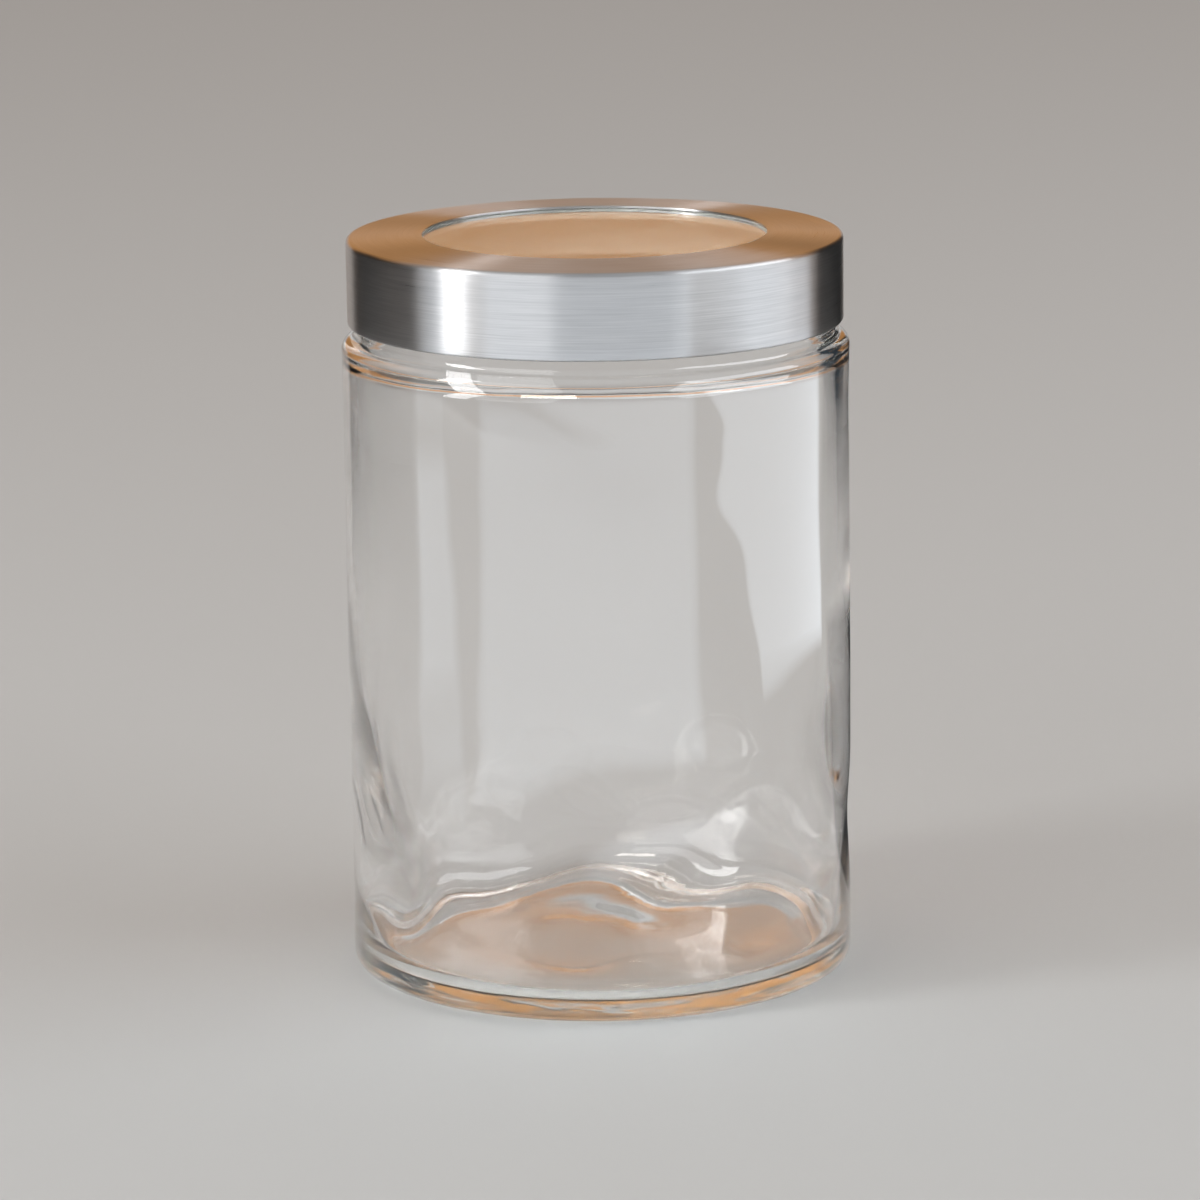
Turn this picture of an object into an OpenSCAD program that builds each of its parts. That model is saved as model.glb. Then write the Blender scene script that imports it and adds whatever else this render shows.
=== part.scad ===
// Lidded glass canister: a round glass jar with a short neck, closed by a push-in lid.
// The lid is a brushed steel cap with a round window, a clear plastic liner whose collar
// plugs the neck, and a finned ring round the collar that seals against the glass.
// Millimetres, +Z up, origin on the resting plane at the centre of the foot.

/* [Jar] */
// Outer diameter of the jar's body
body_d = 120; // [96:1:150]
// Height of the straight body, from the resting plane to the start of the shoulder
body_h = 149; // [80:1:240]
// How far the neck stands in from the body, on the radius
neck_inset = 3.2; // [2.9:0.1:4.2]
// Height of the shoulder's curve, from the body to the straight neck
shoulder_h = 4.3; // [3.4:0.1:5]
// Height from the start of the shoulder to the top of the rim
neck_h = 22.9; // [19:0.1:27]
// Thickness of the glass in the neck
neck_wall = 3.4; // [2.8:0.1:4]
// Thinnest glass in the body wall, at mid height
body_wall = 3.0; // [2.4:0.1:3.8]
// Extra glass in the wall at the shoulder
shoulder_extra = 1.1; // [0.4:0.1:1.6]
// Thickness of the glass in the base
base_wall = 3.7; // [3:0.1:7]
// Rise of the pushed-up middle of the base
punt_rise = 4.2; // [2:0.1:8]
// Radius of the rounded heel
heel_r = 3.2; // [2:0.1:5]
// How far the foot ring stands below the rest of the base
foot_h = 0.8; // [0.4:0.1:1.6]

/* [Lid] */
// How far the steel cap stands in from the jar's body, on the radius
cap_inset = 1.55; // [1.4:0.05:1.6]
// Height of the skirt's lower edge above the start of the shoulder
skirt_lift = 6.1; // [5.5:0.1:8]
// Width of the steel ring round the window
ring_w = 17.95; // [17.5:0.05:20]
// Rise of the steel ring from its outer edge to the window hole
crown = 0.6; // [0.5:0.1:1.4]
// Radius of the cap's top edge
edge_r = 1.1; // [0.8:0.1:1.5]
// Thickness of the steel sheet
sheet = 0.6; // [0.5:0.05:0.65]
// Depth of the window's face below the underside of the steel ring, at the hole
window_drop = 0.15; // [0.06:0.01:0.18]
// Thickness of the window
window_t = 2.6; // [2:0.1:3]

/* [Seal] */
// Number of sealing fins on the gasket
fin_count = 3; // [1:1:3]
// Distance from one fin to the next
fin_pitch = 2.7; // [2:0.1:2.7]
// Thickness of each fin at its root
fin_t = 0.9; // [0.6:0.05:1.2]

/* [Hidden] */
$fn = 128;

// Steps in a rounded corner, and in a long gentle curve
corner_n = 10;
curve_n = 24;
// Gap between two pieces of the lid that are fitted together
fit_gap = 0.05;
// Gap between the gasket and the glass
seal_gap = 0.25;

// Jar
body_r = body_d / 2;
neck_r = body_r - neck_inset;
bore_r = neck_r - neck_wall;
rim_z = body_h + neck_h;
foot_w = 3.2;
foot_in_r = body_r - heel_r - foot_w;
foot_step_w = 1.2;
floor_corner_r = 7;
inner_shoulder_h = 8;
inner_top_z = body_h - 4;
mid_z = body_h / 2;

// The shoulder is a rounded arc and a hollow arc that turn through the same angle
shoulder_turn = 2 * atan(neck_inset / shoulder_h);
shoulder_r_sum = shoulder_h / sin(shoulder_turn);
shoulder_out_r = shoulder_r_sum * 0.58;
shoulder_in_r = shoulder_r_sum - shoulder_out_r;

// Gasket: its sleeve on the liner's collar and its flange on the rim
gasket_wall = 0.95;
gasket_flange_t = 0.8;
gasket_flange_r = neck_r - 0.6;
gasket_flange_z = rim_z + seal_gap;
collar_out_r = bore_r - 2.4;
fin_tip_r = bore_r - seal_gap;
fin_lift = 0.7;

// Liner: a deck under the steel ring, and a collar with a lip that keeps the gasket on
deck_z = gasket_flange_z + gasket_flange_t + fit_gap;
deck_edge_t = 1.2;
collar_t = 2;
collar_h = 12.6;
collar_z = deck_z - collar_h;
lip_t = 1;
gasket_low_z = collar_z + lip_t + fit_gap;
first_fin_z = gasket_low_z + 1.2;

// Cap
cap_r = body_r - cap_inset;
cap_in_r = cap_r - sheet;
hole_r = cap_r - ring_w;
skirt_z = body_h + skirt_lift;
cap_edge_z = deck_z + deck_edge_t + edge_r;
cap_top_z = cap_edge_z + crown;
hem_h = 1.7;
hem_t = 1.25;
slope = crown / (ring_w - edge_r);

// Window, with a sloping rim that the steel ring holds down, and the ledge that it sits on
window_z = cap_top_z - sheet - window_drop;
window_low_z = window_z - window_t;
window_r = hole_r + 4.5;
seal_t = 0.8;
ledge_z = window_low_z - seal_t - 2 * fit_gap;
ledge_t = 1.4;
ledge_in_r = hole_r + 1.2;
pocket_wall = 1.5;

// Points along an arc of radius r about c, from angle a0 to angle a1
function arc(c, r, a0, a1, n = corner_n) =
  [for (i = [0:n]) let (a = a0 + (a1 - a0) * i / n) c + r * [cos(a), sin(a)]];

// 1 at the start of a smooth S and 0 at its end, for t from 0 to 1, level at both ends
function fall(t) = (1 + cos(180 * t)) / 2;

// Points along a smooth S from p to q, upright at both ends
function s_curve(p, q, n = curve_n) =
  [for (i = [0:n]) [q[0] + (p[0] - q[0]) * fall(i / n), p[1] + (q[1] - p[1]) * i / n]];

// Rise of the base at radius r: a low dome on a wide cone that ends level at radius end_r
dome_r = body_r / 2;
function base_rise(r, end_r) =
  r < dome_r
    ? punt_rise * (1 + fall(r / dome_r)) / 2
    : punt_rise * fall((r - dome_r) / (end_r - dome_r)) / 2;

// Inner radius of the body at height z: the wall is thinnest at mid height
function inner_r(z) =
  let (extra = z > mid_z ? shoulder_extra : shoulder_extra / 2)
  body_r - body_wall - extra * pow((z - mid_z) / mid_z, 2);

// Height of the cap's upper and lower surface at radius r
function cap_z(r) = cap_top_z - slope * (r - hole_r);
function cap_under_z(r) = cap_z(r) - sheet;

// Clear glass, closed below, with a pushed-up base, a shoulder, a neck and a round rim
module glass_jar() {
  corner_z = base_wall + floor_corner_r;
  corner_c = [inner_r(corner_z) - floor_corner_r, corner_z];
  hollow_r = foot_in_r - foot_step_w;
  underside = [
    for (i = [0:curve_n])
      let (r = hollow_r * i / curve_n)
      [r, foot_h + base_rise(r, hollow_r)]
  ];
  outside = concat(
    [[foot_in_r, 0]],
    arc([body_r - heel_r, heel_r], heel_r, -90, 0),
    arc([body_r - shoulder_out_r, body_h], shoulder_out_r, 0, shoulder_turn),
    arc([neck_r + shoulder_in_r, body_h + shoulder_h], shoulder_in_r, 180 + shoulder_turn, 180)
  );
  rim = arc([neck_r - neck_wall / 2, rim_z - neck_wall / 2], neck_wall / 2, 0, 180, 2 * corner_n);
  inside = concat(
    s_curve([bore_r, inner_top_z + inner_shoulder_h], [inner_r(inner_top_z), inner_top_z]),
    [
      for (i = [1:curve_n - 1])
        let (z = inner_top_z + (corner_z - inner_top_z) * i / curve_n)
        [inner_r(z), z]
    ],
    arc(corner_c, floor_corner_r, 0, -90)
  );
  floor_top = [
    for (i = [1:curve_n])
      let (r = corner_c[0] * (1 - i / curve_n))
      [r, base_wall + base_rise(r, corner_c[0])]
  ];
  color("honeydew", 0.35)
    rotate_extrude()
      polygon(concat(underside, outside, rim, inside, floor_top));
}

// Pressed steel: a ring round the window, a rounded edge, and a skirt with a folded hem
module steel_cap() {
  edge_c = [cap_r - edge_r, cap_edge_z - edge_r];
  hem_c = [cap_r - hem_t / 2, skirt_z + hem_t / 2];
  color("silver")
    rotate_extrude()
      polygon(concat(
        [[hole_r, cap_z(hole_r)]],
        arc(edge_c, edge_r, 90, 0),
        arc(hem_c, hem_t / 2, 0, -180),
        [[cap_r - hem_t, skirt_z + hem_h], [cap_in_r, skirt_z + hem_h]],
        arc(edge_c, edge_r - sheet, 0, 90),
        [[hole_r, cap_under_z(hole_r)]]
      ));
}

// Clear disc whose rim slopes to lie against the underside of the steel ring
module window_disc() {
  flat_r = hole_r + (window_drop - fit_gap) / slope;
  color("azure", 0.4)
    rotate_extrude()
      polygon([
        [0, window_low_z],
        [window_r, window_low_z],
        [window_r, cap_under_z(window_r) - fit_gap],
        [flat_r, window_z],
        [0, window_z]
      ]);
}

// Flat clear ring between the window and the liner's ledge
module window_seal() {
  color("whitesmoke", 0.6)
    translate([0, 0, ledge_z + fit_gap])
      difference() {
        cylinder(r = window_r - 0.3, h = seal_t);
        translate([0, 0, -seal_t])
          cylinder(r = ledge_in_r + 0.6, h = 3 * seal_t);
      }
}

// Clear moulding: a ledge for the window, a deck under the steel ring, and the collar
module lid_liner() {
  pocket_r = window_r + fit_gap;
  deck_r = cap_in_r - fit_gap;
  deck_in_z = deck_z + 0.4;
  draft = 0.3;
  lip_r = collar_out_r + gasket_wall;
  color("aliceblue", 0.5)
    rotate_extrude()
      polygon([
        [ledge_in_r, ledge_z - ledge_t],
        [pocket_r + pocket_wall, ledge_z - ledge_t],
        [pocket_r + pocket_wall, deck_in_z],
        [collar_out_r - collar_t, deck_in_z],
        [collar_out_r - collar_t + draft, collar_z],
        [lip_r, collar_z],
        [lip_r, collar_z + lip_t],
        [collar_out_r, collar_z + lip_t],
        [collar_out_r, deck_z],
        [deck_r, deck_z],
        [deck_r, cap_edge_z - edge_r],
        [deck_r - edge_r, cap_under_z(deck_r - edge_r) - fit_gap],
        [pocket_r, cap_under_z(pocket_r) - fit_gap],
        [pocket_r, ledge_z],
        [ledge_in_r, ledge_z]
      ]);
}

// Soft clear ring: a flange over the rim, a sleeve on the collar, and upturned fins
module lid_gasket() {
  sleeve_in_r = collar_out_r + fit_gap;
  sleeve_r = collar_out_r + gasket_wall;
  flange_top_z = gasket_flange_z + gasket_flange_t;
  root = 0.1;
  reach = fin_tip_r - sleeve_r + root;
  color("white", 0.7)
    rotate_extrude() {
      translate([sleeve_in_r, gasket_low_z])
        square([sleeve_r - sleeve_in_r, flange_top_z - gasket_low_z]);
      translate([sleeve_in_r, gasket_flange_z])
        square([gasket_flange_r - sleeve_in_r, gasket_flange_t]);
      for (i = [0:fin_count - 1])
        translate([sleeve_r - root, first_fin_z + i * fin_pitch])
          polygon([[0, 0], [reach, fin_lift], [reach, fin_lift + fin_t * 0.4], [0, fin_t]]);
    }
}

glass_jar();
steel_cap();
window_disc();
window_seal();
lid_liner();
lid_gasket();
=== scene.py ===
"""Looks for the lidded glass canister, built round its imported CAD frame.

Every piece is a figure of revolution. Each one is turned again here from the outline of its
own CAD node, with its corners eased and its curves made smooth, so no size is set twice.
"""

import math

import bmesh
import bpy
import numpy as np
from mathutils import Matrix, Vector


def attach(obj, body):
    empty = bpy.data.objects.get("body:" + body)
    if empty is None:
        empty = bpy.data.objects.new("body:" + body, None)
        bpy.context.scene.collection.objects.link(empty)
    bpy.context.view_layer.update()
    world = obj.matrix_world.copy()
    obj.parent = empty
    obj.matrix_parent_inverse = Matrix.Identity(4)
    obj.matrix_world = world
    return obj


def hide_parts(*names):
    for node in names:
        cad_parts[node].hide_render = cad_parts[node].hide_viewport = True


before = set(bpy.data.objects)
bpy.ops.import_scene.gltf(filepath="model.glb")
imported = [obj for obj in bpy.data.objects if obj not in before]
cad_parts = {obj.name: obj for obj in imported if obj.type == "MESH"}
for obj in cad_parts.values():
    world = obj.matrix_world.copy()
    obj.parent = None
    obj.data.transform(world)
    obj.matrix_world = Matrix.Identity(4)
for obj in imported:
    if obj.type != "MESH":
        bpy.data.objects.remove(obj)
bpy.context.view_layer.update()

MM = 0.001
SEGMENTS = 288  # round the axis
rng = np.random.default_rng(2)


# ---------------------------------------------------------------- camera

# Where the camera stands, in metres, how far it looks down and how far it is rolled
CAMERA_PLACE = (0.0003, -1.2285, 0.3649)
CAMERA_DOWN = math.radians(12.742)
CAMERA_ROLL = math.radians(-0.68)
CAMERA_LENS = 158.4  # mm
SENSOR_WIDTH = 36  # mm
CLIP_START, CLIP_END = 0.05, 60  # metres

# How often a ray may turn before it is dropped: in all, at glass or steel, and through glass
MOST_BOUNCES, GLOSSY_BOUNCES, CLEAR_BOUNCES = 28, 20, 28


def make_camera():
    data = bpy.data.cameras.new("camera")
    data.lens = CAMERA_LENS
    data.sensor_width = SENSOR_WIDTH
    data.clip_start = CLIP_START
    data.clip_end = CLIP_END
    camera = bpy.data.objects.new("camera", data)
    bpy.context.scene.collection.objects.link(camera)
    tilt = Matrix.Rotation(math.pi / 2 - CAMERA_DOWN, 4, "X")
    roll = Matrix.Rotation(CAMERA_ROLL, 4, "Z")
    camera.matrix_world = Matrix.Translation(CAMERA_PLACE) @ tilt @ roll
    bpy.context.scene.camera = camera


def make_light_paths():
    """Light runs a long way inside the jar's base and wall, so it needs more bounces than usual."""
    paths = bpy.context.scene.cycles
    paths.max_bounces = MOST_BOUNCES
    paths.glossy_bounces = GLOSSY_BOUNCES
    paths.transmission_bounces = CLEAR_BOUNCES
    bpy.context.scene.view_settings.view_transform = "Standard"


# ---------------------------------------------------------------- outlines of the CAD nodes

NEAR = 1e-6  # metres: closer than this to the axis, or to each other, is touching
SAME_RING = 4e-6  # metres: CAD corners this close in radius and height are one ring
TINY = 1e-12  # keeps a division from being by nothing
SHARP_TURN = math.radians(22)  # an outline that turns more than this has a corner there
LONGEST_CUT = 0.4  # the most of a side that easing one of its corners takes away
CORNER_STEPS = (0.0, 0.25, 0.5, 0.75)


def section(node):
    """A turned CAD node's outline, as ordered (radius, height) corners, and if it is a loop."""
    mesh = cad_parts[node].data
    co = np.array([v.co for v in mesh.vertices], float)
    rz = np.column_stack([np.hypot(co[:, 0], co[:, 1]), co[:, 2]])
    rings = []
    ring_of = np.full(len(rz), -1)
    for i in range(len(rz)):
        if ring_of[i] < 0:
            same = np.all(np.abs(rz - rz[i]) < SAME_RING, axis=1)
            ring_of[same] = len(rings)
            rings.append(rz[same].mean(0))
    links = {i: set() for i in range(len(rings))}
    for edge in mesh.edges:
        a, b = (int(ring_of[v]) for v in edge.vertices)
        if a != b:
            links[a].add(b)
            links[b].add(a)
    ends = [i for i in links if len(links[i]) == 1]
    start = min(ends, key=lambda i: rings[i][1]) if ends else 0
    order, previous = [start], None
    while True:
        onward = [i for i in links[order[-1]] if i != previous and i != start]
        if not onward:
            break
        previous = order[-1]
        order.append(onward[0])
    points = [rings[i] for i in order]
    if ends:
        points = [on_axis(points[0]), *points, on_axis(points[-1])]
        points = [p for p in points if p is not None]
    return np.array(points), not ends


def on_axis(p):
    """The point at p's height on the axis, or None if p is there already."""
    return np.array([0.0, p[1]]) if p[0] > NEAR else None


def unit(v):
    return v / max(np.linalg.norm(v), TINY)


def rounded_corner(before, corner, after):
    """Points that round a corner off, between a point before it and a point after it."""
    return [(1 - t) ** 2 * before + 2 * t * (1 - t) * corner + t * t * after
            for t in CORNER_STEPS]


def smooth_side(start, end, first, last, step):
    """Points about every step on a curve that leaves start along first and meets end along last.

    The end itself is left out.
    """
    span = np.linalg.norm(end - start)
    sides = max(1, int(math.ceil(span / step)))
    points = []
    for k in range(sides):
        t = k / sides
        h00, h10 = 2 * t**3 - 3 * t**2 + 1, t**3 - 2 * t**2 + t
        h01, h11 = -2 * t**3 + 3 * t**2, t**3 - t**2
        points.append(h00 * start + h10 * span * first + h01 * end + h11 * span * last)
    return points


def eased(points, loop, ease, step):
    """The outline with sharp corners rounded by up to ease, and gentle curves made smooth."""
    n = len(points)
    turns = np.zeros(n)
    for i in range(n):
        if loop or 0 < i < n - 1:
            a = unit(points[i] - points[i - 1])
            b = unit(points[(i + 1) % n] - points[i])
            turns[i] = math.acos(np.clip(a @ b, -1, 1))
    corner = turns > SHARP_TURN
    out = []
    for i in range(n if loop else n - 1):
        j = (i + 1) % n
        p, q = points[i], points[j]
        length = np.linalg.norm(q - p)
        along = (q - p) / length
        cut = min(ease, LONGEST_CUT * length)
        start = p + along * (cut if corner[i] else 0.0)
        end = q - along * (cut if corner[j] else 0.0)
        if corner[i]:
            back = points[i - 1] - p
            back_cut = min(ease, LONGEST_CUT * np.linalg.norm(back))
            out += rounded_corner(p + unit(back) * back_cut, p, start)
        straight_start = corner[i] or (not loop and i == 0)
        straight_end = corner[j] or (not loop and j == n - 1)
        first = along if straight_start else unit(q - points[i - 1])
        last = along if straight_end else unit(points[(j + 1) % n] - p)
        out += smooth_side(start, end, first, last, step)
    if not loop:
        out.append(points[-1])
    out = np.array(out)
    keep = [0] + [i for i in range(1, len(out)) if np.linalg.norm(out[i] - out[i - 1]) > NEAR]
    return np.clip(out[keep], points.min(0), points.max(0))


def turned(name, points, loop, shift=None):
    """A mesh turned about +Z from an outline. shift moves its grid: outline points by angles."""
    angles = np.linspace(0, 2 * math.pi, SEGMENTS, endpoint=False)
    radius = points[:, 0][:, None] * np.ones_like(angles)
    height = points[:, 1][:, None] * np.ones_like(angles)
    if shift is not None:
        radius, height = shift(radius, height, angles)
    grid = np.stack([radius * np.cos(angles), radius * np.sin(angles), height], axis=2)
    mesh = bpy.data.meshes.new(name)
    bm = bmesh.new()
    rows = []
    for i in range(len(points)):
        if points[i, 0] < NEAR:
            tip = bm.verts.new(grid[i].mean(0))
            rows.append([tip] * SEGMENTS)
        else:
            rows.append([bm.verts.new(p) for p in grid[i]])
    for i in range(len(points) if loop else len(points) - 1):
        low, high = rows[i], rows[(i + 1) % len(points)]
        for j in range(SEGMENTS):
            k = (j + 1) % SEGMENTS
            ring = []
            for v in (low[j], low[k], high[k], high[j]):
                if v not in ring:
                    ring.append(v)
            bm.faces.new(ring).smooth = True
    bmesh.ops.recalc_face_normals(bm, faces=bm.faces)
    bm.to_mesh(mesh)
    bm.free()
    piece = bpy.data.objects.new(name, mesh)
    bpy.context.scene.collection.objects.link(piece)
    return piece


def piece_from(node, name, body, material, ease, step, shift=None):
    """A finer piece, turned from a CAD node's outline, that stands for the node."""
    corners, loop = section(node)
    piece = turned(name, eased(corners, loop, ease, step), loop, shift)
    piece.data.materials.append(material)
    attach(piece, body)
    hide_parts(node)
    return piece


# ---------------------------------------------------------------- the unevenness of pressed glass


def waves(count, turns, lengths, size):
    """Seeded waves to add together. Each has how many times it goes round the axis, how fast it
    rises along it, its phase and its size. Longer waves are larger.
    """
    kinds = []
    for _ in range(count):
        length = math.exp(rng.uniform(math.log(lengths[0]), math.log(lengths[1])))
        kinds.append((
            int(rng.integers(turns[0], turns[1] + 1)),
            2 * math.pi / length * rng.choice((-1, 1)),
            rng.uniform(0, 2 * math.pi),
            size * length / lengths[1] * rng.uniform(0.5, 1),
        ))
    return kinds


def summed(kinds, height, angles):
    return sum(size * np.cos(turn * angles + rise * height + phase)
               for turn, rise, phase, size in kinds)


def smooth_step(value, start, end):
    t = np.clip((value - start) / (end - start), 0, 1)
    return t * t * (3 - 2 * t)


INSIDE_WAVES = (waves(12, (1, 8), (30 * MM, 120 * MM), 0.11 * MM)
                + waves(8, (9, 20), (60 * MM, 160 * MM), 0.035 * MM))
OUTSIDE_WAVES = waves(12, (2, 9), (24 * MM, 110 * MM), 0.06 * MM)
FLOOR_WAVES = waves(5, (1, 5), (16 * MM, 40 * MM), 0.05 * MM)

# Heights between which the waves come in above the foot, grow toward it, and end under the neck
OUTSIDE_START = (4 * MM, 20 * MM)
INSIDE_START = (10 * MM, 20 * MM)
GROWTH_END = (30 * MM, 90 * MM)
WAVES_END = (136 * MM, 150 * MM)
GROWTH = 2.5  # how much is added to the waves' size at the foot
SINK = 0.08 * MM  # how far the outside is drawn in, so that no wave stands proud of the body
WALL_RADIUS = 45 * MM  # inside points nearer the axis than this are on the floor
FLOOR_START = (2 * MM, 12 * MM)  # radii between which the floor's waves come in
FLOOR_END = (9.6 * MM, 14 * MM)  # heights between which they end


def pressed(radius, height, angles):
    """Moves the jar's grid: the inside more than the outside, the neck and the foot not at all."""
    top = int(np.argmax(height[:, 0]))
    inside = (np.arange(len(height)) > top)[:, None]
    below_neck = 1 - smooth_step(height, *WAVES_END)
    growth = 1 + GROWTH * (1 - smooth_step(height, *GROWTH_END))
    outer = smooth_step(height, *OUTSIDE_START) * below_neck
    outer = outer * growth * (summed(OUTSIDE_WAVES, height, angles) - SINK)
    inner = smooth_step(height, *INSIDE_START) * below_neck
    inner = inner * growth * summed(INSIDE_WAVES, height, angles)
    on_wall = inside & (radius > WALL_RADIUS)
    radius = radius + np.where(inside, np.where(on_wall, inner, 0), np.minimum(outer, 0))
    floor = smooth_step(radius, *FLOOR_START) * (1 - smooth_step(height, *FLOOR_END))
    height = height + np.where(inside, floor * summed(FLOOR_WAVES, radius, angles), 0)
    return radius, height


# ---------------------------------------------------------------- building materials


def new_material(name):
    material = bpy.data.materials.new(name)
    material.use_nodes = True
    tree = material.node_tree
    tree.nodes.clear()
    output = tree.nodes.new("ShaderNodeOutputMaterial")
    shader = tree.nodes.new("ShaderNodeBsdfPrincipled")
    tree.links.new(shader.outputs["BSDF"], output.inputs["Surface"])
    return material, tree, shader, output


def put(tree, socket, value):
    """Sets a socket to a number, or links it to another node's output."""
    if isinstance(value, (int, float)):
        socket.default_value = value
    else:
        tree.links.new(value, socket)


def math_node(tree, kind, *values):
    node = tree.nodes.new("ShaderNodeMath")
    node.operation = kind
    for socket, value in zip(node.inputs, values):
        put(tree, socket, value)
    return node.outputs[0]


def times(tree, a, b):
    return math_node(tree, "MULTIPLY", a, b)


def plus(tree, a, b):
    return math_node(tree, "ADD", a, b)


def combine(tree, x, y, z):
    node = tree.nodes.new("ShaderNodeCombineXYZ")
    for socket, value in zip(node.inputs, (x, y, z)):
        put(tree, socket, value)
    return node.outputs[0]


def noise(tree, vector, detail=2.0, roughness=0.5):
    """Cloudy noise, with one cell to each unit of the vector."""
    node = tree.nodes.new("ShaderNodeTexNoise")
    node.inputs["Scale"].default_value = 1
    node.inputs["Detail"].default_value = detail
    node.inputs["Roughness"].default_value = roughness
    tree.links.new(vector, node.inputs["Vector"])
    return node.outputs["Fac"]


def spread(tree, value, low, high, to_low, to_high):
    """Maps low to to_low and high to to_high, and holds at both ends."""
    node = tree.nodes.new("ShaderNodeMapRange")
    node.inputs["From Min"].default_value = low
    node.inputs["From Max"].default_value = high
    node.inputs["To Min"].default_value = to_low
    node.inputs["To Max"].default_value = to_high
    tree.links.new(value, node.inputs["Value"])
    return node.outputs["Result"]


def blend(tree, factor, a, b):
    """A colour between a and b."""
    node = tree.nodes.new("ShaderNodeMix")
    node.data_type = "RGBA"
    node.inputs["A"].default_value = (*a, 1)
    node.inputs["B"].default_value = (*b, 1)
    tree.links.new(factor, node.inputs["Factor"])
    return node.outputs["Result"]


def bump(tree, height, strength, distance, onto=None):
    node = tree.nodes.new("ShaderNodeBump")
    node.inputs["Strength"].default_value = strength
    node.inputs["Distance"].default_value = distance
    tree.links.new(height, node.inputs["Height"])
    if onto is not None:
        tree.links.new(onto, node.inputs["Normal"])
    return node.outputs["Normal"]


def absorbing(tree, output, colour, density):
    node = tree.nodes.new("ShaderNodeVolumeAbsorption")
    node.inputs["Color"].default_value = (*colour, 1)
    node.inputs["Density"].default_value = density
    tree.links.new(node.outputs[0], output.inputs["Volume"])


class Place:
    """Where a point is on the part, in metres, how far from the axis, and which way round it."""

    def __init__(self, tree):
        self.tree = tree
        split = tree.nodes.new("ShaderNodeSeparateXYZ")
        coordinates = tree.nodes.new("ShaderNodeTexCoord").outputs["Object"]
        tree.links.new(coordinates, split.inputs[0])
        self.x, self.y, self.z = split.outputs
        squares = [times(tree, side, side) for side in (self.x, self.y)]
        self.radius = math_node(tree, "SQRT", plus(tree, *squares))
        distance = math_node(tree, "MAXIMUM", self.radius, 0.5 * MM)
        self.cosine = math_node(tree, "DIVIDE", self.x, distance)
        self.sine = math_node(tree, "DIVIDE", self.y, distance)

    def scaled(self, sideways, upward):
        """Object coordinates, stretched to the number of cells a metre sideways and upward."""
        sides = ((self.x, sideways), (self.y, sideways), (self.z, upward))
        return combine(self.tree, *(times(self.tree, side, scale) for side, scale in sides))

    def wrapped(self, cells_round, cells_across, slant=0.0):
        """Cells that run round a wall, or in rings on a flat, thin across. slant tips them."""
        tree = self.tree
        across = times(tree, plus(tree, self.radius, self.z), cells_across)
        if slant:
            across = plus(tree, across, times(tree, self.cosine, slant))
        return combine(tree, times(tree, self.cosine, cells_round),
                       times(tree, self.sine, cells_round), across)


# ---------------------------------------------------------------- materials

INNER_FACES = (57.4 * MM, 57.8 * MM)  # the glass nearer the axis than this is an inner face
FOOT_HEIGHTS = (0.4 * MM, 1.0 * MM)  # the glass below this is the foot
GLASS_TINT, GLASS_DENSITY = (0.78, 0.85, 0.83), 5
STEEL_DARK, STEEL_LIGHT = (0.450, 0.452, 0.460), (0.585, 0.585, 0.592)


def clear_glass():
    """Pressed soda-lime glass: fine ripples inside, faint handling haze, and a stippled foot."""
    material, tree, shader, output = new_material("clear_glass")
    at = Place(tree)
    shader.inputs["Base Color"].default_value = (1, 1, 1, 1)
    shader.inputs["Transmission Weight"].default_value = 1
    shader.inputs["IOR"].default_value = 1.52
    shader.inputs["Coat Weight"].default_value = 0.7
    shader.inputs["Coat Roughness"].default_value = 0
    inner = spread(tree, at.radius, *INNER_FACES, 1, 0)
    ripple = noise(tree, at.scaled(38, 170), 3, 0.55)
    blister = noise(tree, at.scaled(95, 60))
    uneven = times(tree, inner, plus(tree, ripple, times(tree, blister, 0.6)))
    foot = spread(tree, at.z, *FOOT_HEIGHTS, 1, 0)
    stipple = times(tree, foot, noise(tree, at.scaled(1500, 1500), 2, 0.6))
    eased_wall = bump(tree, uneven, 1, 0.03 * MM)
    tree.links.new(bump(tree, stipple, 0.8, 0.12 * MM, eased_wall), shader.inputs["Normal"])
    haze = spread(tree, noise(tree, at.scaled(22, 30), 4, 0.6), 0.50, 0.78, 0, 0.022)
    worn = plus(tree, haze, times(tree, stipple, 0.35))
    tree.links.new(worn, shader.inputs["Roughness"])
    absorbing(tree, output, GLASS_TINT, GLASS_DENSITY)
    return material


def clear_plastic(name, clear, tint, density, haze_low, haze_high, ring_depth):
    """Moulded clear plastic: flow rings round the axis and a haze of fine rubbing."""
    material, tree, shader, output = new_material(name)
    at = Place(tree)
    shader.inputs["Base Color"].default_value = (0.97, 0.98, 0.96, 1)
    shader.inputs["Transmission Weight"].default_value = clear
    shader.inputs["IOR"].default_value = 1.49
    rubbed = noise(tree, at.scaled(60, 60), 5, 0.65)
    haze = spread(tree, rubbed, 0.35, 0.75, haze_low, haze_high)
    tree.links.new(haze, shader.inputs["Roughness"])
    rings = noise(tree, at.wrapped(1.5, 260))
    tree.links.new(bump(tree, rings, 1, ring_depth), shader.inputs["Normal"])
    absorbing(tree, output, tint, density)
    return material


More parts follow.
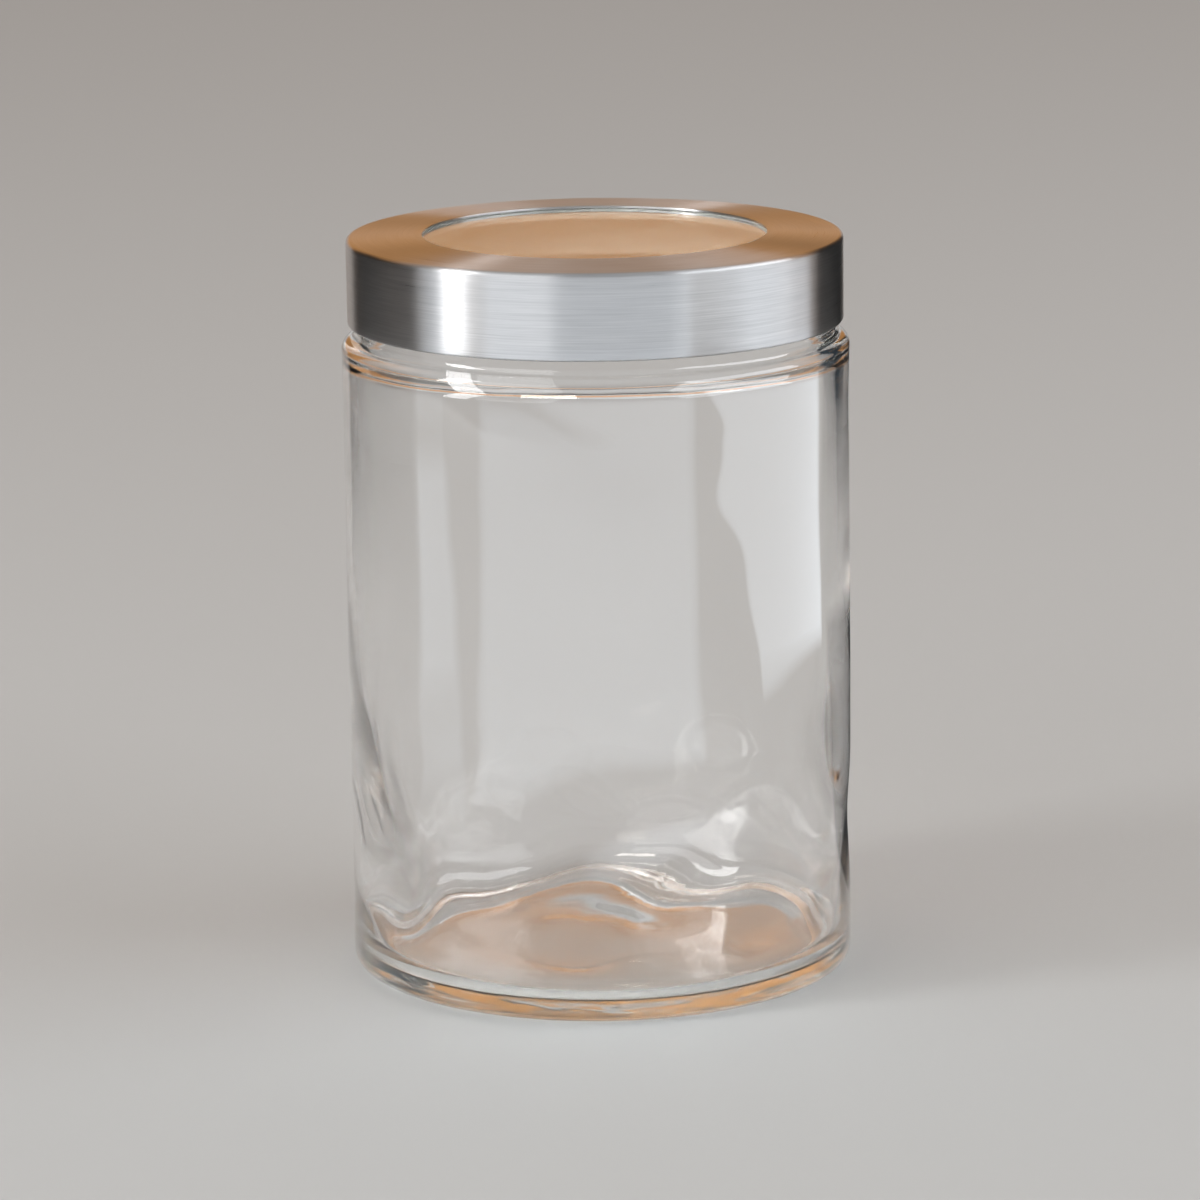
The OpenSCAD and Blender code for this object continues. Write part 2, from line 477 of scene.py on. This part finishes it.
def soft_silicone():
    """Translucent rubber with a matt moulded skin."""
    material, tree, shader, _ = new_material("soft_silicone")
    at = Place(tree)
    cloud = noise(tree, at.scaled(140, 140), 3)
    shade = blend(tree, cloud, (0.90, 0.91, 0.90), (0.82, 0.85, 0.84))
    tree.links.new(shade, shader.inputs["Base Color"])
    shader.inputs["Transmission Weight"].default_value = 0.25
    shader.inputs["IOR"].default_value = 1.41
    tree.links.new(spread(tree, cloud, 0.3, 0.7, 0.22, 0.38), shader.inputs["Roughness"])
    grain = noise(tree, at.scaled(2600, 2600))
    tree.links.new(bump(tree, grain, 0.5, 0.02 * MM), shader.inputs["Normal"])
    return material


def brushed_steel():
    """Steel brushed round the axis, with streaks, slanted scratches and soft finger marks."""
    material, tree, shader, _ = new_material("brushed_steel")
    at = Place(tree)
    fine = noise(tree, at.wrapped(2.4, 3400), 3, 0.65)
    broad = noise(tree, at.wrapped(3.5, 520), 3, 0.6)
    streaks = plus(tree, times(tree, fine, 0.7), times(tree, broad, 0.3))
    scratched = spread(tree, noise(tree, at.wrapped(420, 260, 900), 1, 0.4), 0.70, 0.76, 0, 1)
    where = spread(tree, noise(tree, at.scaled(45, 45)), 0.55, 0.68, 0, 1)
    scratch = times(tree, where, scratched)
    marks = spread(tree, noise(tree, at.scaled(34, 48), 4, 0.6), 0.56, 0.8, 0, 0.05)
    shader.inputs["Metallic"].default_value = 1
    shader.inputs["Anisotropic"].default_value = 1
    shader.inputs["Anisotropic Rotation"].default_value = 0.25
    tangent = tree.nodes.new("ShaderNodeTangent")
    tangent.direction_type = "RADIAL"
    tangent.axis = "Z"
    tree.links.new(tangent.outputs[0], shader.inputs["Tangent"])
    shade = blend(tree, spread(tree, streaks, 0.34, 0.66, 0, 1), STEEL_DARK, STEEL_LIGHT)
    tree.links.new(shade, shader.inputs["Base Color"])
    brushed = spread(tree, streaks, 0.3, 0.7, 0.27, 0.35)
    rough = plus(tree, plus(tree, brushed, marks), times(tree, scratch, 0.12))
    tree.links.new(rough, shader.inputs["Roughness"])
    lines = bump(tree, streaks, 0.16, 0.03 * MM)
    tree.links.new(bump(tree, scratch, 0.5, 0.02 * MM, lines), shader.inputs["Normal"])
    return material


# ---------------------------------------------------------------- stage and lights

FLOOR_RADIUS = 12  # metres
FLOOR_SIDES = 96
FLOOR_DROP = 0.3 * MM  # keeps the floor just clear of the foot it carries
CARD_ROWS, CARD_COLUMNS = 24, 40
SURROUND = (0.56, 0.56, 0.56)
WARM = (0.63, 0.31, 0.115)
WHITE = (1, 1, 1)
COOL = (0.88, 0.94, 1.0)
FLOOR_LEVEL = 0.0015  # metres: the height of cards that lie on the floor


def staged(name, verts, faces, material):
    mesh = bpy.data.meshes.new(name)
    mesh.from_pydata(verts, [], faces)
    mesh.materials.append(material)
    for face in mesh.polygons:
        face.use_smooth = True
    thing = bpy.data.objects.new(name, mesh)
    bpy.context.scene.collection.objects.link(thing)
    return thing


def make_floor():
    material, _, shader, _ = new_material("pale_floor")
    shader.inputs["Base Color"].default_value = (0.530, 0.547, 0.550, 1)
    shader.inputs["Roughness"].default_value = 1
    shader.inputs["Specular IOR Level"].default_value = 0
    around = np.linspace(0, 2 * math.pi, FLOOR_SIDES, endpoint=False)
    verts = [(FLOOR_RADIUS * math.cos(a), FLOOR_RADIUS * math.sin(a), -FLOOR_DROP) for a in around]
    staged("floor", verts, [range(FLOOR_SIDES)], material)


def reflection_card(name, low_edge, high_edge, glow, colour, soft=3):
    """A card that only shows in polished surfaces, as a studio's white and black cards do.

    Its edges are given as (distance from the axis, height, first azimuth, last azimuth), with
    azimuths in degrees. It fades out over its soft outer cells.
    """
    material, tree, shader, output = new_material(name)
    tree.nodes.remove(shader)
    emission = tree.nodes.new("ShaderNodeEmission")
    emission.inputs["Color"].default_value = (*colour, 1)
    emission.inputs["Strength"].default_value = glow
    fade = tree.nodes.new("ShaderNodeAttribute")
    fade.attribute_name = "fade"
    clear = tree.nodes.new("ShaderNodeBsdfTransparent")
    mix = tree.nodes.new("ShaderNodeMixShader")
    tree.links.new(fade.outputs["Fac"], mix.inputs[0])
    tree.links.new(clear.outputs[0], mix.inputs[1])
    tree.links.new(emission.outputs[0], mix.inputs[2])
    tree.links.new(mix.outputs[0], output.inputs["Surface"])
    rows, columns = CARD_ROWS, CARD_COLUMNS
    verts, fades = [], []
    for i, t in enumerate(np.linspace(0, 1, rows + 1)):
        r, z, first, last = ((1 - t) * low + t * high for low, high in zip(low_edge, high_edge))
        for k, a in enumerate(np.radians(np.linspace(first, last, columns + 1))):
            verts.append((r * math.sin(a), -r * math.cos(a), z))
            fades.append(min(1, min(i, rows - i) / soft, min(k, columns - k) / soft))
    faces = []
    for i in range(rows):
        for k in range(columns):
            p = i * (columns + 1) + k
            faces.append((p, p + 1, p + columns + 2, p + columns + 1))
    card = staged(name, verts, faces, material)
    card.data.attributes.new("fade", "FLOAT", "POINT").data.foreach_set("value", fades)
    card.visible_camera = False
    card.visible_diffuse = False
    card.visible_transmission = False
    card.visible_volume_scatter = False
    card.visible_shadow = False
    return card


def softbox(name, azimuth, distance, height, size, watts, colour=WHITE, aim=(0, 0, 0.09)):
    """A rectangular lamp. Azimuth 0 is the camera's side of the object, and 90 is its right."""
    data = bpy.data.lights.new(name, "AREA")
    data.shape = "RECTANGLE"
    data.size, data.size_y = size
    data.energy = watts
    data.color = colour
    lamp = bpy.data.objects.new(name, data)
    a = math.radians(azimuth)
    lamp.location = (distance * math.sin(a), -distance * math.cos(a), height)
    lamp.rotation_euler = (Vector(aim) - lamp.location).to_track_quat("-Z", "Y").to_euler()
    lamp.visible_camera = False
    bpy.context.scene.collection.objects.link(lamp)
    return lamp


def make_world():
    """An even pale surround, with a band of warm light low down behind the object."""
    world = bpy.data.worlds.new("studio")
    bpy.context.scene.world = world
    world.use_nodes = True
    tree = world.node_tree
    split = tree.nodes.new("ShaderNodeSeparateXYZ")
    direction = tree.nodes.new("ShaderNodeTexCoord").outputs["Generated"]
    tree.links.new(direction, split.inputs[0])
    _, backward, upward = split.outputs
    behind = spread(tree, backward, 0.0, 0.55, 0, 1)
    above = spread(tree, upward, 0.05, 0.12, 0, 1)
    below = spread(tree, upward, 0.55, 0.97, 1, 0)
    lit = times(tree, behind, times(tree, above, below))
    background = tree.nodes["Background"]
    tree.links.new(blend(tree, lit, SURROUND, WARM), background.inputs["Color"])


def make_lamps():
    # Azimuth in degrees, distance and height in metres, size in metres, and watts
    softbox("key", -68, 1.9, 0.9, (0.5, 1.3), 15)
    softbox("front_left", -39, 1.9, 0.9, (1.4, 1.1), 7.6)
    softbox("side", 74, 1.9, 1.2, (2.5, 0.9), 24, (0.94, 0.97, 1.0))
    spark = softbox("spark", -72, 2.0, 1.15, (0.10, 0.14), 3)
    spark.visible_diffuse = False
    # Lights the inside of the lid, and only what is seen through glass or plastic
    through = softbox("through", -25, 1.0, 1.3, (0.6, 0.6), 110, (1.0, 0.96, 0.90), (0, 0, 0.165))
    through.visible_diffuse = False
    through.visible_glossy = False


def make_cards():
    """White cards flat on the floor, and black flags: three that stand behind, and one flat."""
    flat, top = FLOOR_LEVEL, 0.42
    reflection_card("card_front", (0.237, flat, -53, 44), (0.84, flat, -53, 44), 2.0, COOL, 1.4)
    reflection_card("card_side", (0.36, flat, 74, 115), (0.84, flat, 45, 117), 2.6, COOL, 1.4)
    reflection_card("card_key", (0.18, flat, -82, -54), (0.84, flat, -90, -72), 1.8, COOL, 8)
    reflection_card("flag_left", (0.42, 0.002, 216, 278), (0.42, top, 216, 278), 0.03, WHITE)
    reflection_card("flag_right", (0.42, 0.002, 114, 160), (0.42, top, 114, 160), 0.03, WHITE)
    # Shows only through the glass, and darkens the jar's right edge
    edge = reflection_card("flag_edge", (0.42, 0.06, 120, 150), (0.42, top, 120, 150), 0.05,
                           (0.45, 0.75, 1.0))
    edge.visible_transmission, edge.visible_glossy = True, False
    reflection_card("flag_low", (0.08, flat, 118, 168), (0.42, flat, 118, 168), 0.04, WHITE)


make_camera()
make_light_paths()
make_floor()
make_world()
make_lamps()
make_cards()

glass = clear_glass()
steel = brushed_steel()
acrylic = clear_plastic("clear_acrylic", clear=1, tint=(0.80, 0.88, 0.84), density=6,
                        haze_low=0.0, haze_high=0.012, ring_depth=0.005 * MM)
moulded = clear_plastic("clear_moulded", clear=0.5, tint=(0.84, 0.88, 0.84), density=8,
                        haze_low=0.02, haze_high=0.08, ring_depth=0.04 * MM)
silicone = soft_silicone()

# Node, piece, body, material, how far corners are eased, and the step along the outline
piece_from("glass_jar", "jar", "jar", glass, 0.5 * MM, 1.5 * MM, pressed)
piece_from("steel_cap", "cap", "lid", steel, 0.15 * MM, 3 * MM)
piece_from("window_disc", "window", "lid", acrylic, 0.2 * MM, 8 * MM)
piece_from("window_seal", "window_ring", "lid", silicone, 0.2 * MM, 1 * MM)
piece_from("lid_liner", "liner", "lid", moulded, 0.3 * MM, 2 * MM)
piece_from("lid_gasket", "gasket", "lid", silicone, 0.12 * MM, 1 * MM)
